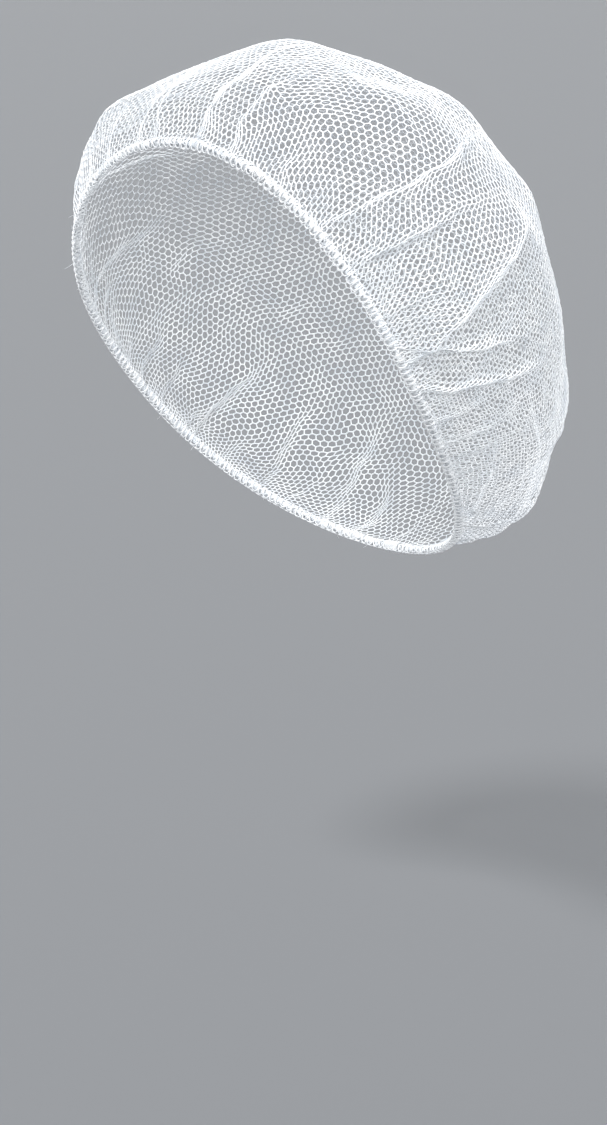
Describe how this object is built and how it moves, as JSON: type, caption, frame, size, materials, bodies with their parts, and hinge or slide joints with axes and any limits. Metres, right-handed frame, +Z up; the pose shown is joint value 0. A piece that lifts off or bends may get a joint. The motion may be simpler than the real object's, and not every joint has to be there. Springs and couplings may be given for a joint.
{
  "type": "mesh hair net",
  "caption": "Hair net of white hexagonal mesh, gathered by an overlocked elastic hem and shaped as worn on a head tipped back.",
  "frame": {"origin": "middle of the head opening, where the hem's length and width cross at the level of its front and back ends", "axes": "+Z up, the wearer faces -Y, +X is the wearer's left; the hem is tipped 55 degrees from level with its forehead end up"},
  "size_m": [0.185, 0.1572, 0.1908],
  "materials": {
    "net_yarn": "matt multifilament yarn, white, knitted in hexagons",
    "hem_yarn": "the same net bunched and folded over the elastic",
    "elastic_rubber": "natural off-white, extruded",
    "covering_yarn": "textured yarn wound round the elastic",
    "stitch_thread": "spun polyester sewing thread, white"
  },
  "bodies": {
    "root": {"net_crown": "net_yarn", "hem_fold": "hem_yarn", "elastic_core": "elastic_rubber", "elastic_cover": "covering_yarn", "needle_thread": "stitch_thread", "upper_looper_thread": "stitch_thread", "lower_looper_thread": "stitch_thread", "join_tack": "stitch_thread"}
  },
  "joints": []
}
